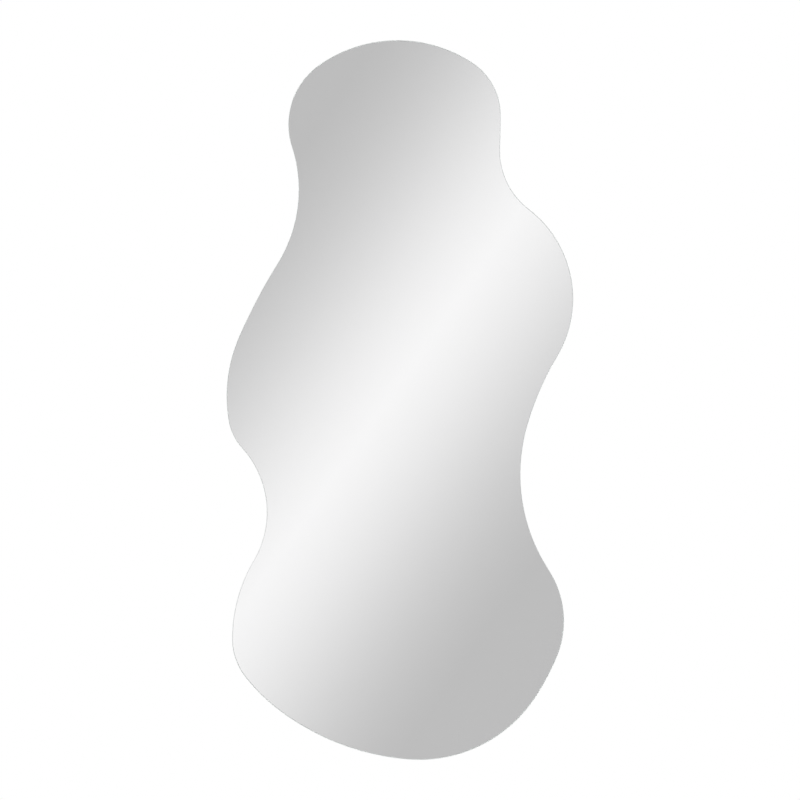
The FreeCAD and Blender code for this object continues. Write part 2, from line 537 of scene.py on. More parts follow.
@dataclass(frozen=True)
class WovenFilm(Finish):
    """White safety film with threads laid crosswise under its skin.

    Attributes:
        pitch: from thread to thread.
        lean: of the threads, either way, in radians.
        flank: the heights of the wave between which a thread rises.
        between: how pale the skin between threads is, as a share.
        cloud: the width of the patches in its sheen.
        thread_matt: how much duller the threads are.
    """

    swing: float = 0.15
    depth: float = 0.05 * MM
    pitch: float = 3.2 * MM
    lean: float = math.pi / 4.0
    flank: tuple[float, float] = (0.72, 0.98)
    between: float = 0.84
    cloud: float = 50.0 * MM
    thread_matt: float = 0.12

    def threads(self, graph: Graph, lean: float) -> Value:
        """One set of threads, as a height from 0 to 1.

        Args:
            graph: the tree that is filled.
            lean: of the threads in the plane of the mirror, in radians.

        Returns:
            The height.
        """
        wave = graph.node(
            "ShaderNodeTexWave",
            {"wave_type": "BANDS", "bands_direction": "X", "wave_profile": "SIN"},
            {
                "Vector": graph.place(turn=(0.0, lean, 0.0)),
                "Scale": WAVE_PERIOD / self.pitch,
                "Distortion": 0.6,
                "Detail": 1.0,
                "Detail Scale": 2.0,
            },
            output="Fac",
        )
        return wave.rise(*self.flank)

    def vary(self, graph: Graph) -> dict[str, object]:
        """A crossed weave, whose threads are whiter than the skin between.

        Args:
            graph: the tree that is filled.

        Returns:
            What the surface's shader is given beyond the plain values.
        """
        weave = self.threads(graph, self.lean).at_least(self.threads(graph, -self.lean))
        cloud = graph.noise(graph.place(), self.cloud)
        return {
            "Base Color": graph.mix(weave, shade(self.colour, self.between), self.colour),
            "Roughness": self.uneven(cloud) + self.thread_matt * weave,
            "Normal": graph.bump(weave, self.depth),
        }


class Cut(Enum):
    """Which way a fibreboard surface was cut."""

    FACE = "face"
    EDGE = "edge"


@dataclass(frozen=True)
class Fibreboard(Finish):
    """Raw medium-density fibreboard: felted short fibres, pressed in a mat.

    Attributes:
        cut: whether it is the pressed face or a cut edge.
        dark: the colour of the flecks, and the painted shade in the hollows between fibres.
        pale: the colour of the topmost fibres, a painted light on them.
        tones: where dark, its own colour and pale lie, from 0 to 1.
        fibre: the length of a fibre.
        slimness: how many times that a fibre's width is.
        lies: the ways that the fibres lie in the plane of the mat, in radians.
        clouds: the widths of the large and of the small patches.
        cloud_share: how far these show in the tone of a pressed face.
        fleck: the width of a fleck.
        fleck_share: how far a fleck covers the fibres.
        layer: the thickness of the layers of the mat.
        layers: how much finer the mat is through the board.
        layer_share: how far the layers show in the tone of a cut edge.
    """

    swing: float = -0.15
    depth: float = 0.06 * MM
    cut: Cut = Cut.FACE
    dark: Colour = (0.235, 0.145, 0.080)
    pale: Colour = (0.60, 0.45, 0.29)
    tones: Point = (0.37, 0.53, 0.69)
    fibre: float = 2.2 * MM
    slimness: float = 5.0
    lies: tuple[float, ...] = (0.3, 1.2, 2.4)
    clouds: tuple[float, float] = (220.0 * MM, 12.0 * MM)
    cloud_share: float = 0.22
    fleck: float = 2.8 * MM
    fleck_share: float = 0.55
    layer: float = 3.5 * MM
    layers: Point = (1.0, 12.0, 1.0)
    layer_share: float = 0.45

    def felt(self, graph: Graph) -> Value:
        """Short fibres that lie every way in the mat.

        Args:
            graph: the tree that is filled.

        Returns:
            Their height, from 0 to 1.
        """
        stretch = (1.0, self.slimness, self.slimness)
        first, second, third = (
            graph.noise(
                graph.place(stretch, turn=(0.0, lie, 0.0)), self.fibre, detail=4.0, roughness=0.65, bend=0.6
            )
            for lie in self.lies
        )
        topmost = first.at_least(second).at_least(third)
        return 0.6 * topmost + 0.4 * first.at_most(second)

    def vary(self, graph: Graph) -> dict[str, object]:
        """Fibres, flecks and slow clouds, with the layers of the mat on a cut edge, and painted shade in the hollows
        and painted light on the fibre tops.

        Args:
            graph: the tree that is filled.

        Returns:
            What the surface's shader is given beyond the plain values.
        """
        plain = graph.place()
        felt = self.felt(graph)
        large, small = self.clouds
        cloud = 0.5 * (graph.noise(plain, large) + graph.noise(plain, small, detail=3.0, roughness=0.6))
        fleck = graph.noise(plain, self.fleck, roughness=0.4).rise(0.66, 0.74)
        if self.cut is Cut.EDGE:
            mat = graph.noise(graph.place(stretch=self.layers), self.layer, detail=3.0, roughness=0.6)
            tone = (1.0 - self.layer_share) * felt + self.layer_share * mat
        else:
            tone = (1.0 - self.cloud_share) * felt + self.cloud_share * cloud
        # The ramp follows the fibres' height: painted shade in the hollows and painted light on the tops, over the
        # board's own flecks, clouds and layers.
        colour = graph.ramp(tone, *zip(self.tones, (self.dark, self.colour, self.pale)))
        return {
            "Base Color": graph.mix(self.fleck_share * fleck, colour, self.dark),
            "Roughness": self.uneven(cloud),
            "Normal": graph.bump(felt, self.depth),
        }


@dataclass(frozen=True)
class ZincPlate(Finish):
    """Zinc on steel: cool, softly shining, with clouds of the blue passivate.

    Attributes:
        warm: the colour where the passivate is thin.
        warmth: how far that colour goes in with the clouds, and again with the lines.
        cloud: the width of a cloud.
        line: the width of the rolling lines.
        stretch: how much finer the lines are along each axis.
        mark: the width of the handling marks.
        mark_matt: how much duller these are.
    """

    swing: float = 0.20
    depth: float = 0.02 * MM
    warm: Colour = (0.58, 0.55, 0.47)
    warmth: float = 0.45
    cloud: float = 7.0 * MM
    line: float = 0.6 * MM
    stretch: Point = (1.0, 1.0, 0.06)
    mark: float = 2.5 * MM
    mark_matt: float = 0.16

    def vary(self, graph: Graph) -> dict[str, object]:
        """Passivate clouds, rolling lines and handling marks.

        Args:
            graph: the tree that is filled.

        Returns:
            What the surface's shader is given beyond the plain values.
        """
        plain = graph.place()
        cloud = graph.noise(plain, self.cloud, detail=3.0, roughness=0.6).rise(0.35, 0.70)
        lines = graph.noise(graph.place(stretch=self.stretch), self.line, detail=3.0, roughness=0.7)
        marks = graph.noise(plain, self.mark, detail=4.0, roughness=0.75).rise(0.55, 0.75)
        return {
            "Base Color": graph.mix(self.warmth * cloud + self.warmth * lines, self.colour, self.warm),
            "Roughness": self.uneven(lines) + self.mark_matt * marks,
            "Normal": graph.bump(lines, self.depth),
        }


@dataclass(frozen=True)
class CellFoam(Finish):
    """Closed-cell foam: small round cells, cut open along the sides.

    Attributes:
        cell: the width of a cell.
        pit_shade: how bright a cell's bottom is, as a share: painted shade in the hollow.
    """

    depth: float = 0.12 * MM
    cell: float = 0.5 * MM
    pit_shade: float = 0.62

    def vary(self, graph: Graph) -> dict[str, object]:
        """Cells whose hollow middles, where they are cut open, carry painted shade.

        Args:
            graph: the tree that is filled.

        Returns:
            What the surface's shader is given beyond the plain values.
        """
        cells = {"Vector": graph.place(), "Scale": 1.0 / self.cell}
        distance = graph.node("ShaderNodeTexVoronoi", {"feature": "F1"}, cells, output="Distance")
        # rim is 0 in a cell's hollow middle and 1 at its wall; the hollow is darkened as painted shade, and sunk by
        # the bump.
        rim = distance.rise(0.15, 0.75)
        return {
            "Base Color": graph.mix(rim, shade(self.colour, self.pit_shade), self.colour),
            "Normal": graph.bump(rim, self.depth),
        }


@dataclass(frozen=True)
class CuredAdhesive(Finish):
    """Mirror adhesive, smooth where it skinned over and torn in its middle.

    Attributes:
        drag: the width of a mark of the spread.
        stretch: how much finer the marks are along each axis.
        dull: how bright its hollows are, as a share: painted shade.
    """

    swing: float = 0.25
    depth: float = 0.1 * MM
    drag: float = 4.0 * MM
    stretch: Point = (1.0, 1.0, 0.35)
    dull: float = 0.88

    def vary(self, graph: Graph) -> dict[str, object]:
        """Marks of the spread, with painted shade in their hollows, and a sheen that is broken by them.

        Args:
            graph: the tree that is filled.

        Returns:
            What the surface's shader is given beyond the plain values.
        """
        spread = graph.noise(graph.place(stretch=self.stretch), self.drag, detail=3.0)
        # The low parts of the spread marks are darkened: painted shade in the hollows.
        return {
            "Base Color": graph.mix(spread, shade(self.colour, self.dull), self.colour),
            "Roughness": self.uneven(spread),
            "Normal": graph.bump(spread, self.depth),
        }


@dataclass(frozen=True)
class SoftRubber(Finish):
    """Moulded soft rubber with a fine grain and a little dust.

    Attributes:
        grain: the width of the grain.
        dust: the colour of the dust.
        dust_size: the width of its patches.
        dust_share: how far it covers the rubber there.
        dust_matt: how much duller that looks.
    """

    depth: float = 0.04 * MM
    grain: float = 0.4 * MM
    dust: Colour = (0.20, 0.19, 0.18)
    dust_size: float = 6.0 * MM
    dust_share: float = 0.25
    dust_matt: float = 0.10

    def vary(self, graph: Graph) -> dict[str, object]:
        """A fine grain, and dust in soft patches.

        Args:
            graph: the tree that is filled.

        Returns:
            What the surface's shader is given beyond the plain values.
        """
        plain = graph.place()
        grain = graph.noise(plain, self.grain, roughness=0.6)
        dust = graph.noise(plain, self.dust_size, detail=3.0).rise(0.45, 0.80)
        return {
            "Base Color": graph.mix(self.dust_share * dust, self.colour, self.dust),
            "Roughness": self.roughness + self.dust_matt * dust,
            "Normal": graph.bump(grain, self.depth),
        }


@dataclass(frozen=True)
class StudioFloor(Finish):
    """A pale matt floor that fades out towards its rim, and is clear from below.

    Attributes:
        radius: the floor's own.
        fade: how far from its middle it starts to fade.
        speckle: the width of its speckles.
        dark: their colour.
    """

    radius: float = 4.0
    fade: float = 2.2
    speckle: float = 20.0 * MM
    dark: Colour = (0.80, 0.80, 0.80)

    def fill(self, graph: Graph) -> None:
        """Builds the nodes of the material.

        Args:
            graph: the tree that is filled.
        """
        place = graph.place()
        flat = graph.node("ShaderNodeVectorMath", {"operation": "MULTIPLY"}, {0: place, 1: (1.0, 1.0, 0.0)})
        reach = graph.node("ShaderNodeVectorMath", {"operation": "LENGTH"}, {0: flat}, output="Value")
        speckle = graph.noise(place, self.speckle, detail=4.0)
        tone = graph.ramp(speckle, (0.3, self.dark), (0.7, self.colour))
        matt = graph.node("ShaderNodeBsdfPrincipled", {}, {"Base Color": tone, "Roughness": self.roughness})
        clear = graph.node("ShaderNodeBsdfTransparent")
        under = graph.node("ShaderNodeNewGeometry", output="Backfacing")
        gone = reach.rise(self.fade, self.radius).at_least(under)
        faded = graph.node("ShaderNodeMixShader", {}, {"Fac": gone, 1: matt, 2: clear})
        graph.end("ShaderNodeOutputMaterial", {"Surface": faded})


class Finishes:
    """The finishes of the mirror, by the names a maker would use."""

    silver = MirrorCoat("silver_behind_glass", (0.975, 0.938, 0.953), 0.0, metallic=1.0)
    back_paint = BackPaint("back_paint", (0.30, 0.33, 0.35), 0.42)
    film = WovenFilm("woven_film", (0.74, 0.75, 0.745), 0.38)
    board_face = Fibreboard("fibreboard_face", (0.43, 0.295, 0.175), 0.72)
    board_edge = Fibreboard("fibreboard_edge", (0.36, 0.215, 0.11), 0.88, depth=0.16 * MM, cut=Cut.EDGE)
    plate_zinc = ZincPlate("plate_zinc", (0.46, 0.50, 0.56), 0.32, metallic=1.0)
    screw_zinc = ZincPlate("screw_zinc", (0.66, 0.65, 0.61), 0.26, metallic=1.0, stretch=(1.0, 1.0, 1.0))
    foam = CellFoam("tape_foam", (0.84, 0.84, 0.82), 0.80)
    tape_skin = BackPaint("tape_adhesive_skin", (0.70, 0.70, 0.66), 0.35)
    adhesive = CuredAdhesive("cured_adhesive", (0.78, 0.75, 0.66), 0.38)
    pad_rubber = SoftRubber("pad_rubber", (0.035, 0.035, 0.037), 0.72)


# --------------------------------------------------------------- modelling ---
class Pick(Enum):
    """What is picked in edit mode."""

    FACES = "FACE"
    EDGES = "EDGE"


def lies_flat(face: Face) -> bool:
    """Whether a face is square to the Y axis."""
    return abs(face.normal.y) > FLAT


class Bench:
    """The modelling operators, each used on one piece at a time."""

    @staticmethod
    def clear() -> None:
        """Goes to object mode, with nothing selected."""
        active = bpy.context.view_layer.objects.active
        if active is not None and active.mode != "OBJECT":
            bpy.ops.object.mode_set(mode="OBJECT")
        bpy.ops.object.select_all(action="DESELECT")

    @staticmethod
    def only(piece: Piece) -> None:
        """Selects one piece, and makes it the active one.

        Args:
            piece: the piece.
        """
        Bench.clear()
        piece.select_set(True)
        bpy.context.view_layer.objects.active = piece

    @staticmethod
    def name(name: str) -> Piece:
        """Names the primitive that was just added, and applies its place.

        Args:
            name: the piece's name.

        Returns:
            The piece.
        """
        piece = bpy.context.view_layer.objects.active
        piece.name = name
        piece.data.name = name
        bpy.ops.object.transform_apply(location=True, rotation=True, scale=True)
        return piece

    @staticmethod
    def pick(piece: Piece, what: Pick, test: Callable[..., bool] = lambda element: True) -> None:
        """Goes to edit mode, with just the faces or the edges selected that pass a test.

        Args:
            piece: the piece.
            what: whether faces or edges are picked.
            test: of a face or an edge. Without one, all are picked.
        """
        Bench.only(piece)
        bpy.ops.object.mode_set(mode="EDIT")
        bpy.ops.mesh.select_mode(type=what.value)
        bpy.ops.mesh.select_all(action="DESELECT")
        shape = bmesh.from_edit_mesh(piece.data)
        for element in shape.faces if what is Pick.FACES else shape.edges:
            if test(element):
                element.select_set(True)
        bmesh.update_edit_mesh(piece.data)

    @staticmethod
    def slab(name: str, ring: np.ndarray, back: float, front: float) -> Piece:
        """An upright sheet of any outline.

        Args:
            name: the piece's name.
            ring: the (x, z) points of its outline, in order.
            back: the y of its face towards the wall.
            front: the y of its face towards the room.

        Returns:
            The closed sheet.
        """
        Bench.clear()
        bpy.ops.mesh.primitive_circle_add(vertices=len(ring), radius=1.0, fill_type="NGON")
        piece = Bench.name(name)
        corners = np.column_stack([ring[:, 0], np.full(len(ring), back), ring[:, 1]])
        piece.data.vertices.foreach_set("co", corners.astype(np.float32).ravel())
        Bench.pick(piece, Pick.FACES)
        bpy.ops.mesh.extrude_region_move(TRANSFORM_OT_translate={"value": (0.0, front - back, 0.0)})
        Bench.face_outwards(piece)
        return piece

    @staticmethod
    def face_outwards(piece: Piece) -> None:
        """Turns every face of a closed piece outwards.

        Args:
            piece: the piece.
        """
        Bench.pick(piece, Pick.FACES)
        bpy.ops.mesh.normals_make_consistent(inside=False)
        Bench.clear()

    @staticmethod
    def ease_rim(piece: Piece, depth: float, width: float, segments: int = 1) -> None:
        """Takes the corner off the edges that lie at one depth.

        Args:
            piece: the piece.
            depth: the y of the edges.
            width: how far back the new edges lie.
            segments: 1 for a flat, more for a round.
        """

        def on_rim(edge: bmesh.types.BMEdge) -> bool:
            """True of a sharp edge at that depth."""
            level = all(abs(corner.co.y - depth) < TOUCH for corner in edge.verts)
            return level and edge.calc_face_angle(0.0) > SMOOTH_ANGLE

        Bench.pick(piece, Pick.EDGES, on_rim)
        bpy.ops.mesh.bevel(offset=width, segments=segments, profile=0.5, affect="EDGES")
        Bench.clear()

    @staticmethod
    def apply(piece: Piece, kind: str, **settings: object) -> None:
        """Adds a modifier to a piece, and applies it.

        Args:
            piece: the piece.
            kind: the modifier's type.
            **settings: its settings by name.
        """
        Bench.only(piece)
        bpy.ops.object.modifier_add(type=kind)
        modifier = piece.modifiers[-1]
        for name, setting in settings.items():
            setattr(modifier, name, setting)
        bpy.ops.object.modifier_apply(modifier=modifier.name)

    @staticmethod
    def cut(piece: Piece, cutter: Piece) -> None:
        """Cuts a piece with another, which is used up."""
        Bench.apply(piece, "BOOLEAN", operation="DIFFERENCE", solver="EXACT", object=cutter)
        bpy.data.objects.remove(cutter, do_unlink=True)

    @staticmethod
    def rod(name: str, radius: float, centre: Point, length: float, corners: int = 64) -> Piece:
        """A round bar along Y.

        Args:
            name: the piece's name.
            radius: of the bar.
            centre: the bar's middle.
            length: along Y.
            corners: how many sides it has.

        Returns:
            The closed bar.
        """
        Bench.clear()
        bpy.ops.mesh.primitive_cylinder_add(
            vertices=corners,
            radius=radius,
            depth=length,
            location=centre,
            rotation=(math.pi / 2.0, 0.0, 0.0),
        )
        return Bench.name(name)

    @staticmethod
    def smooth(piece: Piece) -> None:
        """Shades round surfaces as round, and keeps the flats flat.

        Args:
            piece: the piece.
        """
        Bench.only(piece)
        bpy.ops.object.shade_smooth_by_angle(angle=SMOOTH_ANGLE)
        Bench.apply(piece, "WEIGHTED_NORMAL", keep_sharp=True)

    @staticmethod
    def copy(piece: Piece, name: str, move: Matrix) -> Piece:
        """A copy with a mesh of its own.

        Args:
            piece: the model.
            name: the copy's name.
            move: how it is moved within its mesh.

        Returns:
            The copy.
        """
        made = piece.copy()
        made.data = piece.data.copy()
        made.name = name
        made.data.name = name
        made.data.transform(move)
        bpy.context.scene.collection.objects.link(made)
        return made

    @staticmethod
    def share(model: Piece, moves: Mapping[str, Vector], names: tuple[str, str], slot: str) -> None:
        """Lets copies of a finished model stand for nodes of one size.

        Args:
            model: the model, which is used up.
            moves: how far each node's copy is moved.
            names: the first words of the nodes' names, and what the copies have instead.
            slot: the record's material slot.
        """
        for node, move in moves.items():
            made = Bench.copy(model, node.replace(*names), Matrix.Translation(move))
            Bench.hand_over(made, node, slot)
        bpy.data.objects.remove(model, do_unlink=True)

    @staticmethod
    def dress(piece: Piece, *finishes: Finish) -> None:
        """Gives a piece its finishes.

        Args:
            piece: the piece.
            *finishes: one for each of its slots.
        """
        piece.data.materials.clear()
        for finish in finishes:
            piece.data.materials.append(finish.material())

    @staticmethod
    def paint(piece: Piece, slot: int, test: Callable[[Face], bool]) -> None:
        """Gives a slot to the faces that pass a test.

        Args:
            piece: the piece.
            slot: the number of the slot.
            test: whether a face gets it.
        """
        for face in piece.data.polygons:
            if test(face):
                face.material_index = slot

    @staticmethod
    def hand_over(piece: Piece, node: str, slot: str) -> None:
        """Lets a finished piece stand for a node of the construction.

        Args:
            piece: the finished piece.
            node: the node that it replaces.
            slot: the record's material slot.
        """
        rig.ride(piece, "root")
        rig.replaces(piece, node)
        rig.slot(piece, slot)
        triangles = sum(len(face.vertices) - 2 for face in piece.data.polygons)
        LOG.info("%-26s stands for %-24s %6d triangles", piece.name, node, triangles)


def nodes_named(start: str) -> list[str]:
    """The nodes of the construction whose names start so, in order."""
    return sorted(name for name in frame["nodes"] if name.startswith(start))


def middle_of(node: str) -> Vector:
    """The middle of a node's box."""
    low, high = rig.box(node)
    return (low + high) / 2.0


def width_of(node: str) -> float:
    """How wide a node's box is, along X."""
    low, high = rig.box(node)
    return high.x - low.x


def round_ended(radius: float, low: float, high: float, x: float = 0.0, corners: int = 96) -> np.ndarray:
    """The outline of an upright slot or plate with round ends.

    Args:
        radius: of both ends.
        low: the z of the lower end's centre.
        high: the z of the upper end's centre.
        x: of both centres.
        corners: how many points the outline has.

    Returns:
        The (x, z) points in order.
    """
    angle = (np.arange(corners) + 0.5) * 2.0 * math.pi / corners
    middle = np.where(np.sin(angle) > 0.0, high, low)
    return np.column_stack([x + radius * np.cos(angle), middle + radius * np.sin(angle)])


@dataclass
class Outline:
    """The free outline of the mirror, as a smooth closed curve.

    Attributes:
        points: (x, z) points, evenly spaced.
        normals: the outward normal at each.
    """

    points: np.ndarray
    normals: np.ndarray

    @classmethod
    def of_sheet(cls, node: str, count: int) -> "Outline":
        """Reads the outline of a thin sheet of the construction.

        Args:
            node: the sheet's node.
            count: how many points are wanted.

        Returns:
            The outline, drawn smoothly through the sheet's own corners.
        """
        knots = cls._rim(frame["nodes"][node].data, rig.box(node)[1].y)
        points, along = cls._smooth(knots, count)
        normals = np.column_stack([-along[:, 1], along[:, 0]])
        normals /= np.linalg.norm(normals, axis=1, keepdims=True)
        middle = points.mean(axis=0)
        if np.sum(normals * (points - middle)) < 0.0:
            normals = -normals
        return cls(points, normals)

    @staticmethod
    def _rim(mesh: bpy.types.Mesh, depth: float) -> np.ndarray:
        """The corners round a flat face, which is made of loose triangles.

        Args:
            mesh: the sheet's mesh.
            depth: the y of the face.

        Returns:
            The (x, z) points in order.
        """
        sides: set[tuple[Point, Point]] = set()
        for face in mesh.polygons:
            corners = [mesh.vertices[index].co for index in face.vertices]
            if all(abs(corner.y - depth) <= TOUCH for corner in corners):
                keys = [tuple(round(axis, DIGITS) for axis in corner) for corner in corners]
                sides.update(zip(keys, keys[1:] + keys[:1]))
        following = {start: end for start, end in sides if (end, start) not in sides}
        first = min(following)
        loop = [first]
        while following[loop[-1]] != first:
            loop.append(following[loop[-1]])
        return np.array([(x, z) for x, _, z in loop])

    @staticmethod
    def _smooth(knots: np.ndarray, count: int) -> tuple[np.ndarray, np.ndarray]:
        """A closed cubic spline through some knots.

        Args:
            knots: the points that it passes through.
            count: how many points it is read at.

        Returns:
            The points, and the direction of the curve at each.
        """
        total = len(knots)
        ahead = np.roll(knots, -1, axis=0) - knots
        step = np.linalg.norm(ahead, axis=1)
        before = np.roll(step, 1)
        slope = ahead / step[:, None]
        system = np.diag(2.0 * (before + step))
        index = np.arange(total)
        system[index, (index + 1) % total] += step
        system[index, (index - 1) % total] += before
        bend = np.linalg.solve(system, 6.0 * (slope - np.roll(slope, 1, axis=0)))
        reach = np.concatenate([[0.0], np.cumsum(step)])
        place = np.arange(count) * reach[-1] / count
        left = np.searchsorted(reach, place, side="right") - 1
        right = (left + 1) % total
        width = step[left][:, None]
        share = (place - reach[left])[:, None] / width
        rest = 1.0 - share
        lift = ((rest**3 - rest) * bend[left] + (share**3 - share) * bend[right]) * width**2 / 6.0
        points = rest * knots[left] + share * knots[right] + lift
        turn = ((3.0 * share**2 - 1.0) * bend[right] - (3.0 * rest**2 - 1.0) * bend[left]) * width / 6.0
        return points, slope[left] + turn

    def ring(self, inset: float) -> np.ndarray:
        """The outline drawn in by an inset, as (x, z) points."""
        return self.points - self.normals * inset


# -------------------------------------------------------------- the mirror ---
@dataclass
class SilveredGlass:
    """The pane, the silver behind it and the film that backs them.

    Attributes:
        outline: the edge of the silver.
        silver_bite: how far the silver is let into the glass, so that no air shows between.
        arris: the width of the pane's ground corners, by which it passes the silver.
        film_margin: how far inside the silver's edge the film ends.
    """

    outline: Outline
    silver_bite: float = 0.03 * MM
    arris: float = field(init=False)
    film_margin: float = field(init=False)

    def __post_init__(self) -> None:
        """Reads the margins off the construction."""
        silver = width_of("silver_coating")
        self.arris = (width_of("glass_pane") - silver) / 2.0
        self.film_margin = (silver - width_of("safety_film")) / 2.0

    def build(self) -> None:
        """Builds the three layers."""
        self.build_glass()
        self.build_silver()
        self.build_film()

    def build_glass(self) -> None:
        """The pane, with its corners ground off."""
        low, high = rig.box("glass_pane")
        glass = Bench.slab("ground_glass", self.outline.ring(-self.arris), high.y, low.y)
        Bench.ease_rim(glass, high.y, self.arris)
        Bench.ease_rim(glass, low.y, self.arris)
        Bench.smooth(glass)
        middle = (low.y + high.y) / 2.0
        half = (high.y - low.y) / 2.0
        Bench.dress(glass, FloatGlass("float_glass", (0.98, 1.0, 0.99), middle=middle, half=half))
        Bench.hand_over(glass, "glass_pane", "glass")

    def build_silver(self) -> None:
        """The silver, with its paint on the wall side."""
        low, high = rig.box("silver_coating")
        silver = Bench.slab("silvering", self.outline.ring(0.0), high.y, low.y - self.silver_bite)
        Bench.smooth(silver)
        Bench.dress(silver, Finishes.silver, Finishes.back_paint)
        Bench.paint(silver, 1, lambda face: face.normal.y > -FLAT)
        Bench.hand_over(silver, "silver_coating", "silver")

    def build_film(self) -> None:
        """The film, trimmed just inside the edge."""
        low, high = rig.box("safety_film")
        film = Bench.slab("backing_film", self.outline.ring(self.film_margin), high.y, low.y)
        Bench.smooth(film)
        Bench.dress(film, Finishes.film)
        Bench.hand_over(film, "safety_film", "film")


@dataclass
class KeyholeSizes:
    """What the keyhole plates and the board behind them share.

    Attributes:
        entry_radius: of the round opening that a wall screw's head goes in by.
        slot_radius: half the width of the slot above it.
        travel: how far the mirror drops onto the wall screws.
        pocket_clearance: how much further than the entry the board is hollowed, all round.
        pocket_depth: how deep it is hollowed.
        screw_radius: of the plate's own screws, and their holes.
        screw_head_radius: of these screws' heads.
        screw_length: from the head's face to the point.
    """

    entry_radius: float = 5.0 * MM
    slot_radius: float = 2.5 * MM
    travel: float = 11.0 * MM
    pocket_clearance: float = 2.0 * MM
    pocket_depth: float = 6.5 * MM
    screw_radius: float = 1.75 * MM
    screw_head_radius: float = 3.5 * MM
    screw_length: float = 9.5 * MM

    @staticmethod
    def plates() -> dict[str, float]:
        """The x of each plate's middle, by the plate's node."""
        return {name: middle_of(name).x for name in nodes_named("keyhole_plate_")}

    def screw_heights(self) -> tuple[float, float]:
        """The z of the lower and the upper screw of a plate."""
        low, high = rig.box("hanger_screws")
        return low.z + self.screw_head_radius, high.z - self.screw_head_radius

    def screws(self) -> list[tuple[float, float]]:
        """The (x, z) of every screw's axis."""
        return [(x, z) for x in self.plates().values() for z in self.screw_heights()]


